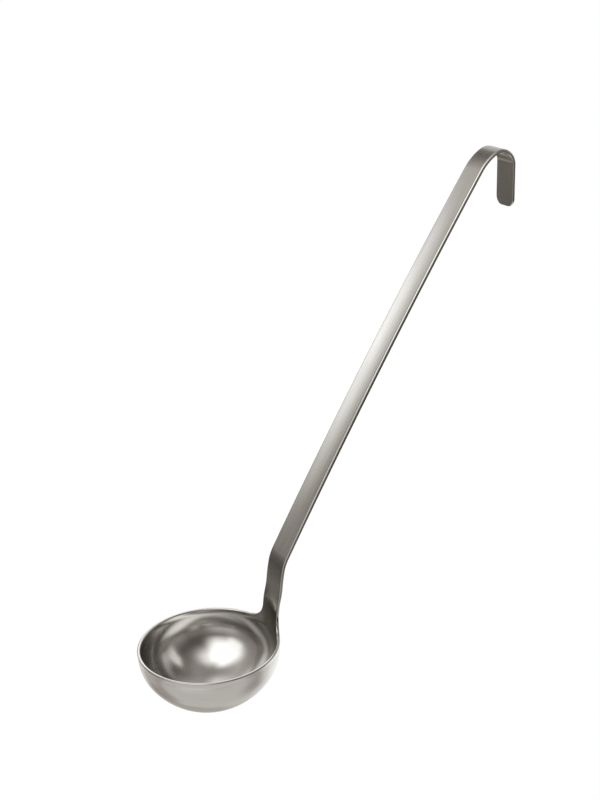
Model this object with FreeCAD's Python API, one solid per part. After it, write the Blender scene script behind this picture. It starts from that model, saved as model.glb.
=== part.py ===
import FreeCAD, Part
import math
import os

# Soup ladle of stainless sheet: a drawn bowl that keeps a short tongue at its rim, a strip
# handle that ends in a hanging hook, and the flush butt weld that joins the tongue to the strip.
# Lengths are in millimetres and angles in degrees.
# Z is up along the bowl's axis, X points from the bowl to the handle, and Y is across the strip.
# The finished pieces have their origin on the axis of the rail that the hook hangs on.
# While they are shaped, the origin is the centre of the rim.

# Sheet
gauge = 2.0
edge_round = 0.7
round_limit_share = 0.4

# Bowl
rim_radius = 45.0
bowl_depth = 41.0
side_radius = 29.0
lip_band = 2.0
lip_radius = 12.0

# Tongue and weld
foot_radius = 10.5
tongue_straight = 2.5
weld_height = 1.6

# Strip handle, along its front face from the weld to the end of the hook
neck_width = 19.9
hook_width = 17.4
neck_lean = 7.85
dish_run = 16.0
neck_run = 8.1
crank_radius = 25.2
stem_lean = 31.2
stem_length = 269.7
stem_bow_radius = 4170.0
lead_radius = 31.7
lead_turn = 26.9
hook_radius = 8.5
leg_lean = 180.75
leg_length = 27.0
leg_corner_radius = 5.5
corner_limit_share = 0.45
dish_shares = (0.25, 0.5, 0.75, 1.0)

# Room past a cut
overrun = 10.0

# Derived sizes
rounding = min(edge_round, gauge * round_limit_share)
leg_corner = min(leg_corner_radius, hook_width * corner_limit_share)
lean = math.radians(neck_lean)
level_gauge = gauge / math.cos(lean)
tongue_top = foot_radius + tongue_straight
weld_top = tongue_top + weld_height
throat_radius = rim_radius - lip_band * math.tan(lean) - lip_radius * (1 - math.cos(lean))
throat_depth = lip_band + lip_radius * math.sin(lean)
body_depth = bowl_depth - throat_depth
bottom_radius = (((throat_radius - side_radius) ** 2 + body_depth ** 2 - side_radius ** 2)
                 / (2 * (body_depth - side_radius)))
stem_foot = math.radians(stem_lean)
stem_head = stem_foot + stem_length / stem_bow_radius
hook_start = stem_head + math.radians(lead_turn)
hook_end = math.radians(leg_lean)


def point(x, z):
    """A point in the ladle's plane of symmetry."""
    return FreeCAD.Vector(x, 0, z)


def ahead(angle):
    """The way that a strip leaning by an angle from the vertical runs."""
    return point(math.sin(angle), math.cos(angle))


def back(angle):
    """The way from the front face of a leaning strip to its back face."""
    return point(math.cos(angle), -math.sin(angle))


def across(y):
    """A step across the strip."""
    return FreeCAD.Vector(0, y, 0)


def arc(start, middle, end):
    """An edge through three points on a circle."""
    return Part.Arc(start, middle, end).toShape()


def line(start, end):
    """A straight edge."""
    return Part.LineSegment(start, end).toShape()


def inner_radius(height):
    """Inner radius of the flared wall, carried on above the rim as a cone."""
    return rim_radius - level_gauge + height * math.tan(lean)


def lip_arc(offset):
    """The bend between wall and flared band, on the outer face or a wall thickness inside it."""
    radius = lip_radius + offset
    centre = point(throat_radius + lip_radius, -throat_depth)
    spots = [centre - back(angle) * radius for angle in (0, lean / 2, lean)]
    return arc(*spots)


def body_arcs(offset):
    """Bottom and side of the bowl as two tangent arcs, on the outer face or a wall thickness inside."""
    side_centre = point(throat_radius - side_radius, -throat_depth)
    bottom_centre = point(0, bottom_radius - bowl_depth)
    meeting = side_centre - bottom_centre
    turn = math.atan2(-meeting.z, meeting.x)
    side = side_radius - offset
    bottom = bottom_radius - offset
    down = math.pi / 2
    bottom_spots = [bottom_centre + back(angle) * bottom for angle in (down, (down + turn) / 2, turn)]
    side_spots = [side_centre + back(angle) * side for angle in (turn, turn / 2, 0)]
    return [arc(*bottom_spots), arc(*side_spots)]


def wall_of_revolution():
    """The bowl's wall turned about its axis, with its rim carried up to the top of the tongue."""
    outer_lip = lip_arc(0)
    inner_lip = lip_arc(gauge)
    inner_top = point(inner_radius(tongue_top), tongue_top)
    outer_top = inner_top + point(level_gauge, 0)
    outer_rim = outer_lip.Vertexes[-1].Point
    inner_rim = inner_lip.Vertexes[-1].Point
    profile = [
        line(point(0, gauge - bowl_depth), point(0, -bowl_depth)),
        *body_arcs(0),
        outer_lip,
        line(outer_rim, outer_top),
        line(outer_top, inner_top),
        line(inner_top, inner_rim),
        inner_lip,
        *reversed(body_arcs(gauge)),
    ]
    face = Part.Face(Part.Wire(profile))
    return face.revolve(FreeCAD.Vector(), FreeCAD.Vector(0, 0, 1), 360)


def tongue_outline():
    """Front view of the tongue: upright sides that sweep out into the rim with round feet."""
    half = neck_width / 2
    foot = half + foot_radius
    diagonal = foot_radius * (1 - math.sqrt(0.5))
    top = tongue_top + overrun

    def corner(y, z):
        return FreeCAD.Vector(0, y, z)

    return Part.Wire([
        arc(corner(-foot, 0), corner(-half - diagonal, diagonal), corner(-half, foot_radius)),
        line(corner(-half, foot_radius), corner(-half, top)),
        line(corner(-half, top), corner(half, top)),
        line(corner(half, top), corner(half, foot_radius)),
        arc(corner(half, foot_radius), corner(half + diagonal, diagonal), corner(foot, 0)),
        line(corner(foot, 0), corner(-foot, 0)),
    ])


def is_rim_edge(edge):
    """Long edges of the rim and of the tongue, inside and outside, apart from the tongue's top."""
    heights = [vertex.Z for vertex in edge.Vertexes]
    radii = [math.hypot(vertex.X, vertex.Y) for vertex in edge.Vertexes]
    low = min(heights) < -gauge * round_limit_share / 2
    on_top = min(heights) > tongue_top - gauge * round_limit_share / 2
    through_wall = max(radii) - min(radii) > gauge / 2 and max(heights) - min(heights) < gauge / 2
    return not (low or on_top or through_wall)


def make_bowl():
    """The drawn bowl, trimmed level at the rim except for the tongue, with every edge rounded."""
    reach = rim_radius + tongue_top + overrun
    block = Part.makeBox(2 * reach, 2 * reach, tongue_top + overrun / 2, FreeCAD.Vector(-reach, -reach, 0))
    tongue = Part.Face(tongue_outline()).extrude(point(reach + overrun, 0))
    bowl = wall_of_revolution().cut(block.cut(tongue))
    edges = [edge for edge in bowl.Edges if is_rim_edge(edge)]
    return bowl.makeFillet(rounding, edges)


def strip_section(front, tilt, thickness, width, sag):
    """Closed outline of the strip: rounded corners, and faces that dish by the sag at their edges."""
    half = width / 2
    inset = half - rounding
    tip = rounding * (1 - math.sqrt(0.5))
    far = thickness - rounding

    def at(y, depth):
        return front + across(y) + back(tilt) * depth

    def broad_face(depth, start, end):
        if sag == 0:
            return line(at(start, depth), at(end, depth))
        return arc(at(start, depth - sag), at(0, depth), at(end, depth - sag))

    return Part.Wire([
        broad_face(0, -inset, inset),
        arc(at(inset, -sag), at(half - tip, tip - sag), at(half, rounding - sag)),
        line(at(half, rounding - sag), at(half, far - sag)),
        arc(at(half, far - sag), at(half - tip, thickness - tip - sag), at(inset, thickness - sag)),
        broad_face(thickness, inset, -inset),
        arc(at(-inset, thickness - sag), at(tip - half, thickness - tip - sag), at(-half, far - sag)),
        line(at(-half, far - sag), at(-half, rounding - sag)),
        arc(at(-half, rounding - sag), at(tip - half, tip - sag), at(-inset, -sag)),
    ])


def wall_sag(height):
    """How far the round wall's inner face falls back at the edges of the strip."""
    radius = inner_radius(height)
    inset = neck_width / 2 - rounding
    return radius - math.sqrt(radius ** 2 - inset ** 2)


def level_section(height):
    """The strip's outline where it still follows the round wall, cut level."""
    return strip_section(point(inner_radius(height), height), 0, level_gauge, neck_width, wall_sag(height))


def make_weld():
    """The weld bead, ground flush with the tongue below it and the strip above it."""
    return Part.makeLoft([level_section(tongue_top), level_section(weld_top)], True, True)


def make_foot():
    """The dished foot of the neck, which eases from the round of the wall to a flat strip."""
    start = point(inner_radius(weld_top), weld_top)
    sections = [level_section(weld_top)]
    for share in dish_shares:
        tilt = lean * share
        sag = wall_sag(weld_top) * (1 + math.cos(math.pi * share)) / 2
        thickness = gauge / math.cos(lean - tilt)
        front = start + ahead(lean) * (dish_run * share)
        sections.append(strip_section(front, tilt, thickness, neck_width, sag if share < 1 else 0))
    return Part.makeLoft(sections, True, False)


def straight_run(start, angle, length):
    """Edge and end of a straight stretch of the strip's front face."""
    end = start + ahead(angle) * length
    return line(start, end), end


def bent_run(start, angle, radius, end_angle):
    """Edge and end of a bend of the front face, which turns towards its back."""
    centre = start + back(angle) * radius
    middle = centre - back((angle + end_angle) / 2) * radius
    end = centre - back(end_angle) * radius
    return arc(start, middle, end), end


def strip_path():
    """Front face from the top of the dished foot to the start of the hook, and its two ends."""
    start = point(inner_radius(weld_top), weld_top) + ahead(lean) * dish_run
    neck, spot = straight_run(start, lean, neck_run)
    crank, spot = bent_run(spot, lean, crank_radius, stem_foot)
    stem, spot = bent_run(spot, stem_foot, stem_bow_radius, stem_head)
    lead, spot = bent_run(spot, stem_head, lead_radius, hook_start)
    return Part.Wire([neck, crank, stem, lead]), start, spot


def make_strip(path, start, end):
    """Neck, crank, bowed stem and lead: a flat section carried along the path as it narrows."""
    sweep = Part.BRepOffsetAPI.MakePipeShell(path)
    sweep.setBiNormalMode(across(1))
    sweep.add(strip_section(start, lean, gauge, neck_width, 0), False, False)
    sweep.add(strip_section(end, hook_start, gauge, hook_width, 0), False, False)
    sweep.build()
    sweep.makeSolid()
    return sweep.shape()


def make_hook(start, rail_axis):
    """The bend of the hook: the strip's outline turned about the axis of the rail."""
    outline = Part.Face(strip_section(start, hook_start, gauge, hook_width, 0))
    return outline.revolve(rail_axis, across(1), math.degrees(hook_end - hook_start))


def make_leg(start):
    """The free leg of the hook: a flat tab with rounded end corners and rounded edges."""
    angle = hook_end
    half = hook_width / 2
    tab = Part.makePolygon([
        start + across(-half),
        start + across(half),
        start + across(half) + ahead(angle) * leg_length,
        start + across(-half) + ahead(angle) * leg_length,
        start + across(-half),
    ])
    leg = Part.Face(tab).extrude(back(angle) * gauge)

    def beyond_start(place):
        return (place - start).dot(ahead(angle))

    def through_sheet(edge):
        first, last = edge.Vertexes
        return abs((first.Point - last.Point).dot(back(angle))) > gauge / 2

    corners = [e for e in leg.Edges if through_sheet(e) and beyond_start(e.CenterOfMass) > leg_length / 2]
    leg = leg.makeFillet(leg_corner, corners)
    outline = [e for e in leg.Edges if not through_sheet(e) and beyond_start(e.CenterOfMass) > rounding]
    return leg.makeFillet(rounding, outline)


def make_handle(path, start, end, rail_axis):
    """The whole handle as one strip: dished foot, swept stem, hook and leg."""
    leg_start = rail_axis - back(hook_end) * (hook_radius + gauge)
    return make_foot().fuse([make_strip(path, start, end), make_hook(end, rail_axis), make_leg(leg_start)])


def save(shape, node, rail_axis):
    """Write one piece, with the rail's axis at the origin."""
    piece = shape.copy()
    piece.translate(-rail_axis)
    solid = piece.Solids[0]
    print(node, "valid", solid.isValid(), "solids", len(piece.Solids), "volume", round(solid.Volume, 1))
    solid.exportStep("parts/" + node + ".step")


os.makedirs("parts", exist_ok=True)
handle_path, path_start, path_end = strip_path()
rail_centre = path_end + back(hook_start) * (hook_radius + gauge)
save(make_bowl(), "bowl", rail_centre)
save(make_weld(), "weld_seam", rail_centre)
save(make_handle(handle_path, path_start, path_end, rail_centre), "handle", rail_centre)
print("rim centre", [round(value, 3) for value in -rail_centre])
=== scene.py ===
# %% [markdown]
# # A soup ladle of stainless sheet
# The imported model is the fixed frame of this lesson. It holds three solids: a drawn bowl, a strip
# handle that ends in a hanging hook, and the ground weld between them. Their sizes are right, but
# a shiny metal would show the flat facets of their meshes, so each solid is drawn again here as a
# finer surface in the same place.

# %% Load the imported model
import math

import bpy
import numpy as np
from mathutils import Matrix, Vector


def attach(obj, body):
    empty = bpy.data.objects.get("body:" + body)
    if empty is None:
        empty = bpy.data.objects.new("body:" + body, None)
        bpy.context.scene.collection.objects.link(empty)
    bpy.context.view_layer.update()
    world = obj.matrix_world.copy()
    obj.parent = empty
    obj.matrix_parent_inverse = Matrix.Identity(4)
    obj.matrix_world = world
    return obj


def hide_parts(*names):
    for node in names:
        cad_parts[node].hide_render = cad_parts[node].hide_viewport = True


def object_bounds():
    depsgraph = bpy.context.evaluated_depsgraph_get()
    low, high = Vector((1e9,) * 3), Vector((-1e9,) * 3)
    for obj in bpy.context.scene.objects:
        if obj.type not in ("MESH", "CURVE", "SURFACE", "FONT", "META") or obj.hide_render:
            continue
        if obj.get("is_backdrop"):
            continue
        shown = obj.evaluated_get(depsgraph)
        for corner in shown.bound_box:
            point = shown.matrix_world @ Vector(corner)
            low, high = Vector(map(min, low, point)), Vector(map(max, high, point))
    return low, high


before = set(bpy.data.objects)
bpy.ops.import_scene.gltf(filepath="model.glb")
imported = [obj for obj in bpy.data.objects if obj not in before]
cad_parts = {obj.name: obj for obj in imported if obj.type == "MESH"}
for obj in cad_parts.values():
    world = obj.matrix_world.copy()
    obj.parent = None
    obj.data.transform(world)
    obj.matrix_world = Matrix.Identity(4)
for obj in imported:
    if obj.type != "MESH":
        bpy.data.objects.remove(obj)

MM = 0.001
scene = bpy.context.scene
cad_box = [list(corner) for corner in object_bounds()]
print("solids", sorted(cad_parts), "span", [round((b - a) / MM, 1) for a, b in zip(*cad_box)], "mm")

# %% [markdown]
# ## Bends as a chain of arcs
# Everything on this ladle is sheet that was bent or drawn, so its side view is a chain of arcs and
# straight runs, each one leaving in the direction in which the last one arrived. A curve object
# could follow it, but only nearly. A walk along the chain is exact: the lean of the sheet grows
# evenly along each arc, and a straight run is an arc with no bend.

# %% Walk along a chain of arcs
def ahead(lean):
    """Unit step (x, z) along sheet that leans from the vertical: the lean's sine and cosine."""
    return np.stack([np.sin(lean), np.cos(lean)], axis=-1)


def back(lean):
    """Unit step (x, z) from the front face of leaning sheet to its back: cosine and minus sine."""
    return np.stack([np.cos(lean), -np.sin(lean)], axis=-1)


def chord(step, bend, lean):
    """Straight line across an arc: along its mean lean, and step times sin(h) / h long for half turn h."""
    turn = np.asarray(step * bend)
    return (step * np.sinc(turn / (2 * np.pi)))[..., None] * ahead(lean + turn / 2)


def walk(start, lean, lengths, bends, distance):
    """Points (x, z) and leans at distances along arcs with the given lengths and bends (1 / radius)."""
    lengths, bends = np.array(lengths), np.array(bends)
    begins = np.cumsum(lengths) - lengths
    turns = lengths * bends
    leans = lean + np.cumsum(turns) - turns
    chords = chord(lengths, bends, leans)
    corners = np.array(start) + np.cumsum(chords, axis=0) - chords
    arc = np.clip(np.searchsorted(begins, distance, side="right") - 1, 0, len(lengths) - 1)
    step = distance - begins[arc]
    return corners[arc] + chord(step, bends[arc], leans[arc]), leans[arc] + step * bends[arc]


half_circle, _ = walk((0, 0), 0.0, [math.pi], [1.0], np.array([math.pi]))
print("a half turn of radius 1 ends at", np.round(half_circle[0], 6))

# %% [markdown]
# ## Half section of the bowl
# The bowl is drawn from a round blank: a nearly spherical bottom, a tighter side, and a short lip
# that flares out again where the blank was trimmed. All sizes below are in millimetres and are the
# same as in the solids. Turning one line about the axis gives the outer face, and the inner face is
# the same line moved inwards by the sheet's gauge.

# %% Walk up the outside of the bowl
gauge = 2.0
edge_round = 0.7
rim_radius = 45.0
bowl_depth = 41.0
side_radius = 29.0
lip_band = 2.0
lip_radius = 12.0
tongue_top = 13.0
neck_lean = math.radians(7.85)
wall_steps = 4000

throat_radius = rim_radius - lip_band * math.tan(neck_lean) - lip_radius * (1 - math.cos(neck_lean))
throat_depth = lip_band + lip_radius * math.sin(neck_lean)
body_depth = bowl_depth - throat_depth
bottom_radius = (((throat_radius - side_radius) ** 2 + body_depth ** 2 - side_radius ** 2)
                 / (2 * (body_depth - side_radius)))
side_turn = math.atan2(bottom_radius - body_depth, throat_radius - side_radius)

wall_lengths = [
    bottom_radius * (math.pi / 2 - side_turn),
    side_radius * side_turn,
    lip_radius * neck_lean,
    (lip_band + tongue_top) / math.cos(neck_lean),
]
wall_bends = [-1 / bottom_radius, -1 / side_radius, 1 / lip_radius, 0.0]
wall_way = np.linspace(0, sum(wall_lengths), wall_steps + 1)
outer_line, wall_lean = walk((0, -bowl_depth), math.pi / 2, wall_lengths, wall_bends, wall_way)
inner_line = outer_line - gauge * back(wall_lean)
print("bottom radius", round(bottom_radius, 2), "throat radius", round(outer_line[:, 0].max(), 2))

# %% [markdown]
# ## Outline of the rim and tongue
# The blank was trimmed level, except for a short tongue that carries the handle. Its upright sides
# sweep out into the rim with round feet. The outline is worked out for one half, from the middle of
# the tongue's top round to the far side of the rim, and then mirrored. Each point also knows in
# which direction the sheet lies, because the edge is rounded in that direction.

# %% Trace half of the outline
neck_width = 19.9
foot_radius = 10.5
half_neck = neck_width / 2
top_columns = 12
side_columns = 5
foot_columns = 28
rim_columns = 120

top_y = np.linspace(0, half_neck - 2 * edge_round, top_columns)
side_z = np.linspace(tongue_top, foot_radius, side_columns)
foot_angle = np.linspace(0, math.pi / 2, foot_columns + 1)[1:]
foot_y = half_neck + foot_radius * (1 - np.cos(foot_angle))
foot_z = foot_radius * (1 - np.sin(foot_angle))
rim_share = np.linspace(0, 1, rim_columns + 1)[1:]

tongue_y = np.concatenate([top_y, np.full(side_columns, half_neck), foot_y])
tongue_z = np.concatenate([np.full(top_columns, tongue_top), side_z, foot_z])
inward_y = np.concatenate([np.zeros(top_columns), -np.ones(side_columns), -np.cos(foot_angle)])
inward_z = np.concatenate([np.zeros(top_columns + side_columns), -np.sin(foot_angle)])


def outline(line, inset):
    """Angles and heights of the half outline on one face, moved into the sheet by an inset.
    On the tongue the angle's sine is the offset across divided by the radius at that height, and
    on the rim the angle runs evenly from the foot to the far side."""
    height = tongue_z + inset * inward_z
    angle = np.arcsin((tongue_y + inset * inward_y) / np.interp(height, line[:, 1], line[:, 0]))
    rim_angle = angle[-1] + (math.pi - angle[-1]) * rim_share
    return np.concatenate([angle, rim_angle]), np.concatenate([height, np.full(rim_columns, -inset)])


outline_angle, _ = outline(outer_line, 0.0)
print("half outline", len(outline_angle), "points, up to", round(math.degrees(outline_angle[-1])), "degrees")

# %% [markdown]
# ## Columns of the bowl
# On the upright sides of the tongue the outline's points lie above each other, and columns straight
# down from them would fall together. So the columns start apart from each other lower on the wall,
# in shares of the tongue's half width, and fan out to the outline from there. Below the rim they are
# evenly spaced.

# %% Spread the columns
fan_top_share = 0.45
fan_side_shares = (0.47, 0.55)
fan_foot_share = 0.95


def both_halves(half, sign):
    """Half a loop and its mirror image, without the two points in the plane of symmetry twice."""
    return np.concatenate([half, sign * half[..., -2:0:-1]], axis=-1)


fan_top = half_neck * np.linspace(0, fan_top_share, top_columns)
fan_side = half_neck * np.linspace(*fan_side_shares, side_columns)
fan_foot_end = fan_foot_share * (half_neck + foot_radius)
fan_foot = np.linspace(fan_side_shares[1] * half_neck, fan_foot_end, foot_columns + 1)[1:]
fan_angle = np.concatenate([fan_top, fan_side, fan_foot]) / rim_radius
fan_rim = fan_angle[-1] + (math.pi - fan_angle[-1]) * rim_share
fan_angle = both_halves(np.concatenate([fan_angle, fan_rim]), -1)
print("columns round the bowl", len(fan_angle))

# %% [markdown]
# ## Surface of the bowl
# One could turn the half section with a Screw modifier, cut the tongue with a Boolean and bevel the
# edge, but that leaves slivers which a polished metal shows. Here the bowl is one grid instead. Its
# columns fan out from the middle of the bottom to the points of the outline, and its rows run up the
# outside, over the rounded edge and down the inside, so that every point lies on the true surface.

# %% Lay the grid over the bowl
fan_height = -14.0
bottom_count = 44
fan_count = 30
edge_count = 8


def on_wall(line, angle, height):
    """Point at an angle and height on a turned face: radius of the half section times cosine and sine."""
    radius = np.interp(height, line[:, 1], line[:, 0])
    return np.stack([radius * np.cos(angle), radius * np.sin(angle), height], axis=-1)


def bottom_rows(line, rows):
    """Rings from next to the middle of the bottom up to the height where the columns start to fan."""
    arc = np.interp(fan_height, line[:, 1], wall_way) * np.linspace(0, 1, rows + 1)[1:, None]
    height = np.interp(arc, wall_way, line[:, 1])
    return on_wall(line, fan_angle + 0 * arc, height + 0 * fan_angle)


def fan_rows(line, rows):
    """Rings above that, straight mixes of the fan's start and the outline, closer together near the edge."""
    angle, height = outline(line, edge_round)
    mix = np.sin(np.linspace(0, math.pi / 2, rows + 1))[1:, None]
    angle = fan_angle + (both_halves(angle, -1) - fan_angle) * mix
    return on_wall(line, angle, fan_height + (both_halves(height, 1) - fan_height) * mix)


def edge_rows(rows):
    """Rings over the edge: at each corner of the sheet a quarter turn from the face to the cut.
    A point there is the sharp corner, plus (1 - sin) of the step to the face, plus (1 - cos) of the
    step along the cut."""
    corner = [on_wall(line, both_halves(angle, -1), both_halves(height, 1))
              for line in (outer_line, inner_line) for angle, height in [outline(line, 0.0)]]
    face = [fan_rows(line, 1)[-1] - sharp for line, sharp in zip((outer_line, inner_line), corner)]
    cut = corner[1] - corner[0]
    cut *= edge_round / np.linalg.norm(cut, axis=-1, keepdims=True)
    turn = np.linspace(0, math.pi / 2, rows + 1)[1:, None, None]
    outside = corner[0] + face[0] * (1 - np.sin(turn)) + cut * (1 - np.cos(turn))
    inside = corner[1] + face[1] * (1 - np.sin(turn)) - cut * (1 - np.cos(turn))
    return np.concatenate([outside, inside[-1::-1]])


bowl_rows = np.concatenate([
    bottom_rows(outer_line, bottom_count),
    fan_rows(outer_line, fan_count),
    edge_rows(edge_count),
    fan_rows(inner_line, fan_count)[-1::-1],
    bottom_rows(inner_line, bottom_count)[-1::-1],
])
bowl_poles = np.array([[0, 0, -bowl_depth], [0, 0, gauge - bowl_depth]])
print("bowl grid", bowl_rows.shape[:2], "highest point", round(bowl_rows[..., 2].max(), 3), "mm")

# %% [markdown]
# ## Path of the strip
# Seen from the side, the handle rises from the weld with the lean of the bowl's flared wall, bends
# back at a crank, runs up a long and very slightly bowed stem, and turns over in a hook with a short
# leg. The front face is the outside of every bend, so the path follows that face. The neck already
# begins to bend, and the crank is wider than in the solid, because the light turns gently there in
# the photograph. The face moves by 0.35 mm at most for that, and all the rest stays in place.

# %% Walk along the front face of the strip
weld_height = 1.6
dish_run = 16.0
neck_run = 10.567
neck_radius = 120.0
crank_radius = 30.0
stem_lean = math.radians(31.2259)
stem_length = 267.816
stem_bow_radius = 4170.0
lead_radius = 31.7
lead_turn = math.radians(26.9)
hook_radius = 8.5
leg_lean = math.radians(180.75)
leg_length = 27.0

weld_top = tongue_top + weld_height
level_gauge = gauge / math.cos(neck_lean)
hook_front = hook_radius + gauge
hook_lean = stem_lean + stem_length / stem_bow_radius + lead_turn
strip_lengths = np.array([
    dish_run,
    neck_run,
    crank_radius * (stem_lean - neck_lean - neck_run / neck_radius),
    stem_length,
    lead_radius * lead_turn,
    hook_front * (leg_lean - hook_lean),
    leg_length,
])
strip_bends = [
    0,
    1 / neck_radius,
    1 / crank_radius,
    1 / stem_bow_radius,
    1 / lead_radius,
    1 / hook_front,
    0,
]
strip_begins = np.cumsum(strip_lengths) - strip_lengths
crank_begin, hook_begin = strip_begins[[2, 5]]
strip_start = (rim_radius - level_gauge + weld_top * math.tan(neck_lean), weld_top)
hook_foot, _ = walk(strip_start, neck_lean, strip_lengths, strip_bends, np.array([hook_begin]))
rail_axis = hook_foot[0] + hook_front * back(hook_lean)
rim_centre = np.array([-rail_axis[0], 0, -rail_axis[1]])
print("strip", round(strip_lengths.sum(), 1), "mm long, rim centre", np.round(rim_centre, 3))

# %% [markdown]
# ## Edges of the strip
# A Bevel on a swept rectangle would do for the stem, but not for the leg, whose end has large round
# corners. So each point's depth is worked out instead: how far it lies inside the strip's outline
# says how far the rounded edge has fallen away there. The points stand close together in the
# rounding and evenly between.

# %% Round the edges of a face
leg_corner = 5.5
edge_points = 8
flat_points = 17
edge_turn = np.linspace(0, math.pi / 2, edge_points)
flat_share = np.linspace(1, -1, flat_points + 2)[1:-1]
reach_share = np.concatenate([np.ones(edge_points), flat_share, -np.ones(edge_points)])
inset_share = np.concatenate([1 - np.cos(edge_turn), flat_share, np.cos(edge_turn[-1::-1]) - 1])


def edge_fall(inside, rounding):
    """Fall of a rounded edge at a distance inside the outline: a quarter circle, then nothing."""
    left = rounding - np.minimum(inside, rounding)
    return rounding - np.sqrt(np.maximum(rounding ** 2 - left ** 2, 0))


def face(half, end, rounding):
    """Offsets across one face of each row, and the fall of its rounded edge there. Inside the outline is
    the leg's corner radius minus the distance from the corner's middle, or the nearer of two borders."""
    corner_y = half - leg_corner
    near = np.maximum(leg_corner - end, 0)
    reach = corner_y + np.sqrt(leg_corner ** 2 - near ** 2)
    across = reach[:, None] * reach_share - rounding[:, None] * inset_share
    side = np.abs(across) - corner_y[:, None]
    tip = (leg_corner - end)[:, None]
    inside = (leg_corner - np.hypot(np.maximum(side, 0), np.maximum(tip, 0))
              - np.minimum(np.maximum(side, tip), 0))
    return across, edge_fall(inside, rounding[:, None])


print("points across a face", len(reach_share), "fall at the very edge", edge_fall(0.0, edge_round), "mm")

# %% [markdown]
# ## Sections and the weld
# The foot of the strip is dished to fit the round bowl, and the dish fades out further up. Stamping
# rounds a strip's front edges and leaves the back ones crisp, so each face has its own rounding.
# Rolled strip is never quite flat across either: a crown of 0.4 mm lets the stem shade from one edge
# to the other, which a flat face could not do. The weld is made of the same sections. It is a level
# slice of the flared wall, fully dished, with no crown and no stamped edges.

# %% Carry the section along a path
crown_radius = 100.0
front_round = 1.0
back_round = 0.35
weld_rings = 5
# The weld has no end with round corners, so that end is put too far away to matter.
no_end = 1000.0


def dish(radius, across):
    """How far a round wall falls back from its middle: radius minus the root of radius^2 - across^2."""
    return radius - np.sqrt(radius ** 2 - across ** 2)


def wall_radius(height):
    """Inner radius of the flared wall carried on above the rim as a cone."""
    return rim_radius - level_gauge + height * math.tan(neck_lean)


def sections(front, tilt, thickness, half, end, hollow, wall, crowned, stamped):
    """Rings of the strip: across its front from one edge to the other and back across its back face.
    half is half the width, end the distance to the strip's end, hollow the share of the dish that is
    left, wall the inner radius of the bowl's wall at that row, and crowned and stamped the shares of
    the crown and of the stamped edges. A face's depth is its fall, plus the crown, minus the dish."""
    front_y, front_fall = face(half, end, edge_round + (front_round - edge_round) * stamped)
    back_y, back_fall = face(half, end, edge_round + (back_round - edge_round) * stamped)
    front_depth = front_fall - hollow[:, None] * dish(wall[:, None], front_y)
    back_depth = thickness[:, None] - back_fall - hollow[:, None] * dish(wall[:, None] + level_gauge, back_y)
    depth = np.concatenate([front_depth, back_depth[:, -1::-1]], axis=1)
    across = np.concatenate([front_y, back_y[:, -1::-1]], axis=1)
    depth += crowned[:, None] * (dish(crown_radius, across) - dish(crown_radius, half)[:, None])
    place = front[:, None] + depth[..., None] * back(tilt)[:, None]
    return np.stack([place[..., 0], across, place[..., 1]], axis=-1)


weld_z = np.linspace(tongue_top, weld_top, weld_rings)
one = np.ones(weld_rings)
weld_rows = sections(np.stack([wall_radius(weld_z), weld_z], axis=-1), 0 * one, level_gauge * one,
                     half_neck * one, no_end * one, one, wall_radius(weld_z), 0 * one, 0 * one)
print("weld grid", weld_rows.shape[:2], "widest", round(np.ptp(weld_rows[..., 1]), 2), "mm")

# %% [markdown]
# ## Rows along the handle
# The rows stand close together where the strip bends and at the rounded end of the leg, and far
# apart along the stem. Over the dished foot the sections turn from level to square across the strip.
# The dish fades early, which leaves more of the neck flat, and the crown begins and ends smoothly,
# because a shiny face shows even a slight crease.

# %% Lay the grid over the handle
hook_width = 17.4
dish_ease = 1.6
crown_ease = 60.0
row_steps = [24, 8, 18, 80, 20, 56, 16]
tip_count = 30


def smooth_step(share):
    """Eases from 0 to 1 with level ends: t^2 (3 - 2 t), where t is the share held between 0 and 1."""
    share = np.clip(share, 0, 1)
    return share ** 2 * (3 - 2 * share)


leg_tip = strip_lengths.sum()
corner_begin = leg_tip - leg_corner
row_ends = [*strip_begins[1:], corner_begin]
stops = [np.linspace(begin, end, steps, endpoint=False)
         for begin, end, steps in zip(strip_begins, row_ends, row_steps)]
tip_rows = leg_tip - leg_corner * (1 - np.cos(np.linspace(math.pi / 2, 0, tip_count)))
way = np.concatenate([*stops, tip_rows])

strip_front, strip_lean = walk(strip_start, neck_lean, strip_lengths, strip_bends, way)
foot_share = np.clip(way / dish_run, 0, 1)
hollow = ((1 + np.cos(math.pi * foot_share)) / 2) ** dish_ease
taper = np.clip((way - dish_run) / (hook_begin - dish_run), 0, 1)
half_width = (neck_width + (hook_width - neck_width) * taper) / 2
tilt = np.where(way < dish_run, neck_lean * foot_share, strip_lean)
crowned = smooth_step(np.minimum(way - crank_begin, hook_begin - way) / crown_ease)
handle_rows = sections(strip_front, tilt, gauge / np.cos(strip_lean - tilt), half_width, leg_tip - way,
                       hollow, wall_radius(weld_top + 0 * way), crowned, smooth_step(foot_share))
print("handle grid", handle_rows.shape[:2], "tip", np.round(strip_front[-1] - rail_axis, 2))

# %% [markdown]
# ## From grids to faces
# Neighbouring points of a grid become quads, and each ring closes on itself. The bowl ends in one
# point at the middle of each face. A strip's end could close in one point too, but a row of quads
# across the section keeps it as flat as a cut sheet.

# %% Join the points of a grid
def ring_faces(rows, columns, first):
    """Quads between neighbours in a stack of closed rings, whose first point has the given number."""
    index = first + np.arange(rows * columns).reshape(rows, columns)
    right = np.roll(index, -1, axis=1)
    return np.stack([index[:-1], right[:-1], right[1:], index[1:]], axis=-1).reshape(-1, 4), index, right


def cap_faces(ring):
    """Quads across a flat ring, from each point of its front to the point behind it."""
    pairs = len(ring) // 2
    near, far = ring[:pairs], ring[-1:pairs - 1:-1]
    return np.stack([near[:-1], near[1:], far[1:], far[:-1]], axis=-1)


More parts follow.
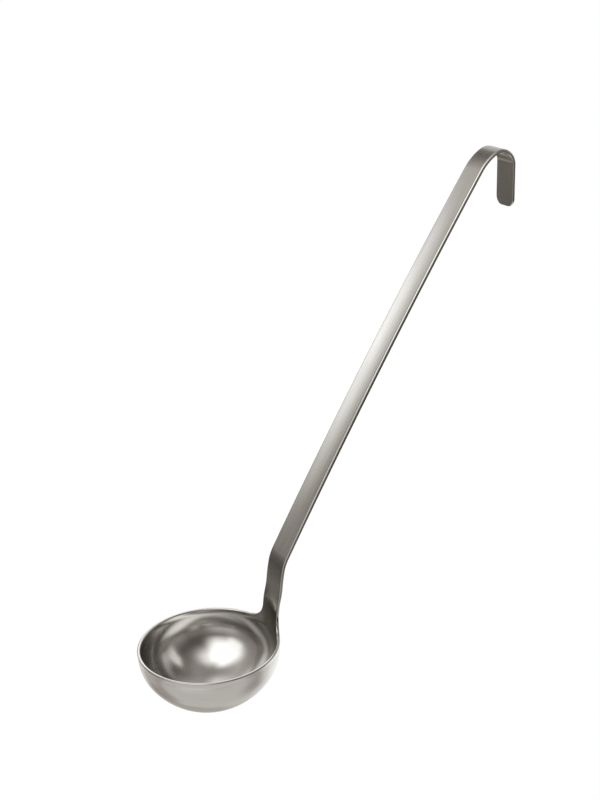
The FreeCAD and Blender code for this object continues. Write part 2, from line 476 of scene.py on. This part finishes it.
bowl_quads, bowl_index, bowl_right = ring_faces(*bowl_rows.shape[:2], 1)
far_pole = np.full_like(bowl_index[0], bowl_index.size + 1)
bowl_fans = [np.stack([np.zeros_like(far_pole), bowl_right[0], bowl_index[0]], axis=-1),
             np.stack([bowl_index[-1], bowl_right[-1], far_pole], axis=-1)]
print("bowl has", len(bowl_quads), "quads and two fans of", len(far_pole), "triangles")

# %% [markdown]
# ## The bowl as a piece
# Where the bowl, the weld and the strip meet, each one ends in a flat cut that the next one hides.
# Smooth shading would mix the direction of the cut into the faces beside it and draw a false groove
# there, so the cut stays flat, with sharp edges. Each point also carries its place in the grain of
# the steel. A turned bowl's grain runs round its axis, so that place is the cosine and sine of its
# bearing, which leave no seam, and the way up the wall.

# %% Make the bowl
# Points this close to the top of the tongue lie on its cut.
level_slack = 1e-6


def add_piece(name, points, faces, cut, grain, node):
    """A mesh from points in millimetres about the rim's centre. Faces wholly on the cut stay flat, and
    the edges round it are sharp."""
    mesh = bpy.data.meshes.new(name)
    mesh.from_pydata(((points + rim_centre) * MM).tolist(), [], [f for part in faces for f in part.tolist()])
    smooth = np.concatenate([~cut[part].all(axis=1) for part in faces])
    mesh.polygons.foreach_set("use_smooth", smooth)
    mesh.attributes.new("grain", "FLOAT_VECTOR", "POINT").data.foreach_set("vector", grain.ravel())
    mesh.validate()
    edge_ends = np.empty(2 * len(mesh.edges), int)
    mesh.edges.foreach_get("vertices", edge_ends)
    sharp = cut[edge_ends.reshape(-1, 2)].all(axis=1)
    mesh.attributes.new("sharp_edge", "BOOLEAN", "EDGE").data.foreach_set("value", sharp)
    piece = bpy.data.objects.new(name, mesh)
    scene.collection.objects.link(piece)
    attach(piece, "root")
    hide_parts(node)
    print(name, "has", len(mesh.polygons), "faces")
    return piece


bowl_points = np.concatenate([bowl_poles[:1], bowl_rows.reshape(-1, 3), bowl_poles[1:]])
bowl_angle = np.arctan2(bowl_points[:, 1], bowl_points[:, 0])
bowl_climb = np.interp(bowl_points[:, 2], outer_line[:, 1], wall_way)
bowl_grain = np.stack([np.cos(bowl_angle), np.sin(bowl_angle), bowl_climb], axis=-1)
bowl_cut = bowl_points[:, 2] > tongue_top - level_slack
bowl = add_piece("ladle_bowl", bowl_points, [bowl_quads, *bowl_fans], bowl_cut, bowl_grain, "bowl")

# %% [markdown]
# ## The weld and the handle as pieces
# Both are stacks of rings, closed at both ends. The weld is cut flat at its two ends, and the handle
# only at its foot, because the end of its leg is open to view and rounded. The grain of the strip
# runs along it, so a point's place there is its way along the strip and its way round the section.

# %% Make the weld and the handle
def add_strip(name, grid, along, node):
    """A strip from its rings, closed at both ends. The first ring is a flat cut, and so is the weld's last.
    The way round a section is the sum of the steps between its points."""
    quads, index, _ = ring_faces(*grid.shape[:2], 0)
    faces = [quads, cap_faces(index[0])[:, ::-1], cap_faces(index[-1])]
    points = grid.reshape(-1, 3)
    cut = np.zeros(len(points), bool)
    cut[index[0]] = True
    cut[index[-1]] = node == "weld_seam"
    girth = np.cumsum(np.linalg.norm(np.diff(grid[0], axis=0, prepend=grid[0][:1]), axis=-1))
    grain = np.stack(np.broadcast_arrays(along[:, None], girth, 0.0), axis=-1)
    return add_piece(name, points, faces, cut, grain.reshape(-1, 3), node)


weld = add_strip("ladle_weld", weld_rows, weld_z - weld_top, "weld_seam")
handle = add_strip("ladle_handle", handle_rows, way, "handle")

# %% [markdown]
# ## Camera
# The photograph was taken from in front and to the left of the ladle, a little above it, with a lens
# of moderate length. The place, the turn and the lens were worked out from the edges of the rim, the
# stem and the hook. The picture is 600 by 800, so the sensor's 36 mm lie along its height.

# %% Set up the camera
azimuth = math.radians(26.626)
elevation = math.radians(21.511)
roll = math.radians(2.730)
lens_length = 59.19
camera_place = np.array([-477.15, -667.9, 168.75])

forward = np.array([math.sin(azimuth) * math.cos(elevation), math.cos(azimuth) * math.cos(elevation),
                    -math.sin(elevation)])
level_right = np.array([math.cos(azimuth), -math.sin(azimuth), 0])
level_up = np.cross(level_right, forward)
up = math.cos(roll) * level_up + math.sin(roll) * level_right
right = math.cos(roll) * level_right - math.sin(roll) * level_up

camera_data = bpy.data.cameras.new("camera")
camera_data.lens = lens_length
camera = bpy.data.objects.new("camera", camera_data)
turned = np.eye(4)
turned[:3, :3] = np.stack([right, up, -forward], axis=-1)
turned[:3, 3] = camera_place * MM
camera.matrix_world = Matrix(turned.tolist())
scene.collection.objects.link(camera)
scene.camera = camera
print("camera at", np.round(turned[:3, 3], 3))

# %% [markdown]
# ## Colours and nodes
# A colour picker gives sRGB hex codes, while a shader adds up linear light, so each code is converted
# first. Shader nodes could be added and linked line by line. One small function that takes a node's
# settings, values and links keeps each material short enough to be read at a glance.

# %% Convert colours and add nodes
def linear(code):
    """Linear colour from an sRGB hex code: each channel c is ((c + 0.055) / 1.055) to the power 2.4, or
    c / 12.92 where it is nearly black."""
    value = np.array([int(code[i:i + 2], 16) / 255 for i in (0, 2, 4)])
    value = np.where(value <= 0.04045, value / 12.92, ((value + 0.055) / 1.055) ** 2.4)
    return (*value.tolist(), 1.0)


def add_node(tree, kind, links=(), values=(), **settings):
    """Adds a node, sets its settings and the values of its inputs, and links outputs to its inputs."""
    node = tree.nodes.new(kind)
    for name, setting in settings.items():
        setattr(node, name, setting)
    for name, value in dict(values).items():
        node.inputs[name].default_value = value
    for name, output in dict(links).items():
        tree.links.new(output, node.inputs[name])
    return node


def add_material(name):
    """An empty material and its node tree."""
    material = bpy.data.materials.new(name)
    material.use_nodes = True
    material.node_tree.nodes.clear()
    return material, material.node_tree


print("the grey 808080 is", round(linear("808080")[0], 3), "in linear light")

# %% [markdown]
# ## Satin stainless steel
# Bowl and strip are the same stainless steel, finished with fine abrasive: round the axis inside and
# outside the bowl, and along the strip. Metal has no colour of its own besides its warm grey
# reflection, so what the eye reads is how blurred that reflection is, and how the scratches streak
# it. An image of scratches would stretch over the bends. Noise that is drawn out along each piece's
# own grain follows them instead, and a second, larger noise dulls the places that are handled more.

# %% Mix the steel
# The scratches of the real finish lie a few hundredths of a millimetre apart, too close to show
# here, so they are drawn this far apart.
scratch_spacing = 0.9
scratch_length = 30.0
scratch_depth = 0.05
handled_patch = 30.0
# Most of a noise lies between these two values, so they are spread over the whole range.
noise_span = {"From Min": 0.3, "From Max": 0.7}


def satin_steel(name, stretch, shades, roughness, scratch):
    """Stainless steel with a grain. stretch gives the scratches per step of the grain attribute, shades
    its lightest and darkest streaks, roughness its range, and scratch the share of their depth that shows."""
    material, tree = add_material(name)
    grain = add_node(tree, "ShaderNodeAttribute", attribute_name="grain")
    drawn = add_node(tree, "ShaderNodeMapping", {"Vector": grain.outputs["Vector"]}, {"Scale": stretch})
    lines = add_node(tree, "ShaderNodeTexNoise", {"Vector": drawn.outputs["Vector"]},
                     {"Scale": 1.0, "Detail": 3.0, "Roughness": 0.6})
    streak = add_node(tree, "ShaderNodeMapRange", {"Value": lines.outputs["Fac"]}, noise_span)
    tint = add_node(tree, "ShaderNodeMix", {"Factor": streak.outputs["Result"]},
                    {6: linear(shades[0]), 7: linear(shades[1])}, data_type="RGBA")
    place = add_node(tree, "ShaderNodeTexCoord")
    cloud = add_node(tree, "ShaderNodeTexNoise", {"Vector": place.outputs["Object"]},
                     {"Scale": 1 / (handled_patch * MM), "Detail": 2.0})
    blur = add_node(tree, "ShaderNodeMapRange", {"Value": cloud.outputs["Fac"]},
                    {**noise_span, "To Min": roughness[0], "To Max": roughness[1]})
    bump = add_node(tree, "ShaderNodeBump", {"Height": lines.outputs["Fac"]},
                    {"Strength": scratch, "Distance": scratch_depth * MM})
    steel = add_node(tree, "ShaderNodeBsdfPrincipled",
                     {"Base Color": tint.outputs[2], "Roughness": blur.outputs["Result"],
                      "Normal": bump.outputs["Normal"]}, {"Metallic": 1.0})
    add_node(tree, "ShaderNodeOutputMaterial", {"Surface": steel.outputs["BSDF"]})
    return material


# Brushed lengthwise with a belt: faint streaks run with the strip, and its reflections are soft.
strip_steel = satin_steel("stainless_steel_brushed_along_strip",
                          (1 / scratch_length, 1 / scratch_spacing, 1.0),
                          ("D1D0CD", "C2C1BE"), (0.19, 0.23), 0.1)
# Turned against finer abrasive: the rings hardly show, and the highlights inside are sharper.
bowl_steel = satin_steel("stainless_steel_satin_turned_bowl",
                         (rim_radius / scratch_length, rim_radius / scratch_length, 1 / scratch_spacing),
                         ("CCCBC8", "C7C6C3"), (0.15, 0.18), 0.01)
for piece, steel, slot in ((bowl, bowl_steel, "bowl_steel"), (weld, strip_steel, "strip_steel"),
                           (handle, strip_steel, "strip_steel")):
    piece.data.materials.append(steel)
print("steels", [m.name for m in (strip_steel, bowl_steel)])

# %% [markdown]
# ## Floor
# The ladle hangs free over a plain white floor, under one wide soft lamp. The floor could be made
# white with more light, but that would bleach the steel, so its paint is white instead, and the lamp
# only brings it to its own colour. A white face square to a lamp of strength pi shows as 1, which
# gives the lamp its strength.

# %% Lay the floor
floor_height = -800.0
floor_side = 30.0
floor_white = 0.9
floor_level = 1.01
lamp_spread = math.radians(60)


def add_stage(name, points, faces):
    """A mesh from points in metres that is not part of the ladle."""
    mesh = bpy.data.meshes.new(name)
    mesh.from_pydata(points.tolist(), [], faces.tolist())
    stage = bpy.data.objects.new(name, mesh)
    scene.collection.objects.link(stage)
    stage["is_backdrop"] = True
    return stage


floor_corners = np.array([[-1, -1], [1, -1], [1, 1], [-1, 1]]) * floor_side
floor = add_stage("floor", np.insert(floor_corners, 2, floor_height * MM, axis=1), np.arange(4)[None])
# Matt floor paint: the same pale white from every side, with no gloss.
paint, tree = add_material("white_floor_paint")
matt = add_node(tree, "ShaderNodeBsdfDiffuse", values={"Color": (floor_white, floor_white, floor_white, 1)})
add_node(tree, "ShaderNodeOutputMaterial", {"Surface": matt.outputs["BSDF"]})
floor.data.materials.append(paint)

sky_lamp = bpy.data.lights.new("sky_lamp", "SUN")
sky_lamp.angle = lamp_spread
sky_lamp.energy = floor_level * math.pi / floor_white
sky = bpy.data.objects.new("sky_lamp", sky_lamp)
sky.visible_glossy = False
scene.collection.objects.link(sky)
print("floor", floor_height, "mm below the hanging rail, lamp strength", round(sky_lamp.energy, 2))

# %% [markdown]
# ## Sky
# Behind the floor's edge stands a white sky. It is lit for the camera, for reflections and for rays
# through glass, and adds no light to anything else. Light that skims round the inside of a bowl is
# mirrored many times, and cut short it would leave dark specks, so many bounces are allowed.

# %% Light the sky
mirror_bounces = 32
sure_bounces = 12
scene.view_settings.view_transform = "Standard"
scene.cycles.max_bounces = mirror_bounces
scene.cycles.glossy_bounces = mirror_bounces
scene.cycles.min_light_bounces = sure_bounces

scene.world = bpy.data.worlds.new("white_sky")
scene.world.use_nodes = True
tree = scene.world.node_tree
tree.nodes.clear()
path = add_node(tree, "ShaderNodeLightPath")
seen = add_node(tree, "ShaderNodeMath", {0: path.outputs["Is Camera Ray"], 1: path.outputs["Is Glossy Ray"]},
                operation="MAXIMUM")
seen = add_node(tree, "ShaderNodeMath", {0: seen.outputs[0], 1: path.outputs["Is Transmission Ray"]},
                operation="MAXIMUM")
shine = add_node(tree, "ShaderNodeBackground", {"Strength": seen.outputs[0]}, {"Color": (1, 1, 1, 1)})
add_node(tree, "ShaderNodeOutputWorld", {"Surface": shine.outputs["Background"]})
scene.world.cycles.sampling_method = "NONE"
print("sky", scene.world.name, "with up to", mirror_bounces, "bounces")

# %% [markdown]
# ## Shape of the light tent
# Polished metal shows the room round it more than itself, so it is photographed in a tent of white
# cloth that is lit from outside in places. Lamps alone would only give bright spots, and a picture
# of a room would bring in things that are not there. This tent is a dome on a round mat, wide enough
# that the whole ladle sees nearly the same of it.

# %% Set up the dome and its mat
tent_middle = np.array([-150.0, 0.0, -180.0])
tent_radius = 1150.0
tent_columns = 120
mat_rings = 24
dome_rings = 61
mat_lift = 1.0

tent_turn = np.linspace(0, 2 * math.pi, tent_columns, endpoint=False)
tent_foot = math.asin((floor_height - tent_middle[2]) / tent_radius)
dome_rise = np.linspace(tent_foot, math.pi / 2, dome_rings)
mat_out = tent_radius * math.cos(tent_foot) * np.linspace(0, 1, mat_rings, endpoint=False)
tent_out = np.concatenate([mat_out, tent_radius * np.cos(dome_rise)])[:, None]
tent_up = np.concatenate([np.full(mat_rings, floor_height + mat_lift),
                          tent_middle[2] + tent_radius * np.sin(dome_rise)])[:, None]
tent_points = np.stack([tent_middle[0] + tent_out * np.sin(tent_turn),
                        tent_middle[1] + tent_out * np.cos(tent_turn), tent_up + 0 * tent_turn], axis=-1)
print("tent grid", tent_points.shape[:2], "top at", round(tent_points[..., 2].max(), 1), "mm")

# %% [markdown]
# ## Aiming light at the steel
# Which spot of the tent a curved face mirrors depends on where that face is, so each patch of light
# is aimed from the bowl or from the stem, by bearings and heights as seen from there. Area lamps could
# be aimed the same way, but they have hard borders and would light the floor as well. A patch on the
# cloth has borders as soft as needed, and changes only what the steel mirrors.

# %% Aim a patch of light
bowl_middle = rim_centre + [0, 0, -20.0]
stem_middle = np.array([-90.0, 0.0, -120.0])


def seen_from(eye, points):
    """Bearings (0 at the back, 90 at the right) and heights of points seen from an eye, in degrees."""
    x, y, z = np.moveaxis(points - eye, -1, 0)
    return np.degrees(np.arctan2(x, y)), np.degrees(np.arctan2(z, np.hypot(x, y)))


def patch(points, eye, bearing, height, soft):
    """Share of light at points in a patch between two bearings and two heights. It fades over the soft
    width round each border as a smooth step. Bearings shrink with the cosine of the mean height."""
    turn, rise = seen_from(eye, points)
    middle = sum(height) / 2
    offset = np.abs((turn - sum(bearing) / 2 + 180) % 360 - 180)
    beside = ((bearing[1] - bearing[0]) / 2 - offset) * math.cos(math.radians(middle))
    above = (height[1] - height[0]) / 2 - np.abs(rise - middle)
    return smooth_step(0.5 + beside / soft) * smooth_step(0.5 + above / soft)


rim_bearing, rim_height = seen_from(bowl_middle, rim_centre + [rim_radius, 0, 0])
print("from the bowl, the tongue is at bearing", round(rim_bearing, 1), "height", round(rim_height, 1))

# %% [markdown]
# ## Light on the tent
# The cloth is dim near the floor, brighter half way up, and has a light mat below. On top of that
# come the patches: a large key light over the left shoulder makes the bright spot in the bowl, a light
# behind runs up the stem, and dark cloths draw the hook, the crank and the sides. Below zero, a patch
# takes light away. Each one was set against the photograph, the largest first.

# %% Light the cloth
cloth_heights = [-5, 45, 80]
cloth_glow = [0.13, 0.62, 0.36]
mat_glow = 0.75
least_glow = 0.05
# Each patch: level, the eye it is aimed from, two bearings, two heights and the soft width in degrees.
patches = {
    "key": (1.65, bowl_middle, (-156, -72), (38, 78), 20),
    "key left": (1.0, bowl_middle, (-196, -155), (56, 82), 22),
    "top back": (0.9, bowl_middle, (-14, 28), (52, 71), 24),
    "rear": (1.5, stem_middle, (-35, -14), (5, 26), 23),
    "rim light": (1.1, bowl_middle, (6, 34), (23, 37), 8),
    "back low": (0.35, stem_middle, (8, 115), (-60, 28), 16),
    "front fill": (0.1, bowl_middle, (95, 158), (10, 34), 14),
    "front low": (0.45, bowl_middle, (-155, -103), (-30, 22), 30),
    "neck light": (0.16, bowl_middle, (-60, -8), (-40, -20), 12),
    "leg light": (0.35, bowl_middle, (-27, 4), (-15, -3), 7),
    "mat bright": (0.14, bowl_middle, (49, 92), (-57, -27), 12),
    "mat left": (-0.28, bowl_middle, (-69, -23), (-62, -27), 14),
    "mat right": (-0.26, bowl_middle, (92, 138), (-60, -28), 24),
    "mat back": (-0.22, bowl_middle, (-30, 40), (-78, -40), 14),
    "front dark": (-0.43, bowl_middle, (72, 243), (28, 60), 31),
    "side dark": (-0.1, stem_middle, (115, 178), (-26, -6), 8),
    "crank dark": (-0.05, bowl_middle, (-62, -12), (-14, -4), 8),
    "edge dark": (-0.4, stem_middle, (-11, 14), (-22, 10), 10),
    "hook dark": (-0.77, stem_middle, (-15, 20), (36, 57), 21),
}
_, tent_height = seen_from(tent_middle, tent_points)
glow = np.interp(tent_height, cloth_heights, cloth_glow)
glow[:mat_rings] = mat_glow
glow += sum(level * patch(tent_points, *where) for level, *where in patches.values())
glow = np.maximum(glow, least_glow)
print(len(patches), "patches, glow from", round(glow.min(), 2), "to", round(glow.max(), 2))

# %% [markdown]
# ## Hanging the tent
# The tent must not hide the white sky or shade the floor, so only reflections see it. Each point of
# its mesh carries its own glow as an attribute, which the cloth gives off as light. Dim cloth looks
# warmer than lit cloth, and so the dark parts of the steel come out slightly brown.

# %% Hang the tent
dim_glow = 0.1
full_glow = 1.0


def add_mirrored(name, points, faces, glow):
    """A stage mesh from points in millimetres that only reflections see, with a glow at each point."""
    stage = add_stage(name, points.reshape(-1, 3) * MM, faces)
    stage.data.attributes.new("glow", "FLOAT", "POINT").data.foreach_set("value", glow.ravel())
    stage.visible_camera = False
    stage.visible_diffuse = False
    stage.visible_shadow = False
    return stage


tent_quads, _, _ = ring_faces(*glow.shape, 0)
tent = add_mirrored("light_tent", tent_points, tent_quads, glow)
# White cotton lit from behind: an even glow with no gloss, cream where it is dim.
cloth, tree = add_material("lit_tent_cloth")
lit = add_node(tree, "ShaderNodeAttribute", attribute_name="glow")
warmth = add_node(tree, "ShaderNodeMapRange", {"Value": lit.outputs["Fac"]},
                  {"From Min": dim_glow, "From Max": full_glow})
shade = add_node(tree, "ShaderNodeMix", {"Factor": warmth.outputs["Result"]},
                 {6: linear("FFF3E6"), 7: linear("FFFEFC")}, data_type="RGBA")
shine = add_node(tree, "ShaderNodeEmission", {"Color": shade.outputs[2], "Strength": lit.outputs["Fac"]})
add_node(tree, "ShaderNodeOutputMaterial", {"Surface": shine.outputs["Emission"]})
cloth.cycles.emission_sampling = "NONE"
tent.data.materials.append(cloth)
print("tent has", len(tent.data.polygons), "faces")

# %% [markdown]
# ## Strip light
# A bright thread runs down the near edge of the stem, where the rounding mirrors something low on the
# left. The bowl mirrors only dim cloth from there, so the light cannot be on the tent. It is a small
# lamp close to the stem, which the bowl sees higher up, in front of the key light. Its film is clear
# towards the borders, so that it melts into the tent behind it.

# %% Hang the strip light
lamp_reach = 350.0
lamp_glow = 1.7
lamp_steps = 25
lamp_bearings = (-126, -64)
lamp_heights = (26, 58)
lamp_patch = ((-114, -80), (35, 50), 9)

lamp_turn = np.radians(np.linspace(*lamp_bearings, lamp_steps))
lamp_rise = np.radians(np.linspace(*lamp_heights, lamp_steps))[:, None]
lamp_points = bowl_middle + lamp_reach * np.stack(
    np.broadcast_arrays(np.sin(lamp_turn), np.cos(lamp_turn), np.tan(lamp_rise)), axis=-1)
lamp_share = patch(lamp_points, bowl_middle, *lamp_patch)
lamp_rings, _, _ = ring_faces(lamp_steps, lamp_steps, 0)
lamp_quads = lamp_rings.reshape(-1, lamp_steps, 4)[:, :-1].reshape(-1, 4)
lamp = add_mirrored("strip_light", lamp_points, lamp_quads, lamp_share)

# Milky film over a lamp: it glows evenly in the middle and is clear at the borders.
film, tree = add_material("lit_lamp_film")
lit = add_node(tree, "ShaderNodeAttribute", attribute_name="glow")
clear = add_node(tree, "ShaderNodeBsdfTransparent")
shine = add_node(tree, "ShaderNodeEmission", values={"Color": linear("FFFEFC"), "Strength": lamp_glow})
faded = add_node(tree, "ShaderNodeMixShader",
                 {0: lit.outputs["Fac"], 1: clear.outputs["BSDF"], 2: shine.outputs["Emission"]})
add_node(tree, "ShaderNodeOutputMaterial", {"Surface": faded.outputs["Shader"]})
film.cycles.emission_sampling = "NONE"
lamp.data.materials.append(film)
print("strip light has", len(lamp.data.polygons), "faces")

# %% [markdown]
# ## Sizes
# The drawn surfaces fill the solids' box to within a few hundredths of a millimetre, since the crown
# and the eased crank lie inside it. Both boxes are compared below, and the largest difference is printed.

# %% Compare the boxes and finish
visual_box = [list(corner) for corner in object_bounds()]
gaps = [abs(a - b) / MM for pair in zip(cad_box, visual_box) for a, b in zip(*pair)]
print("largest difference of the boxes", round(max(gaps), 3), "mm")
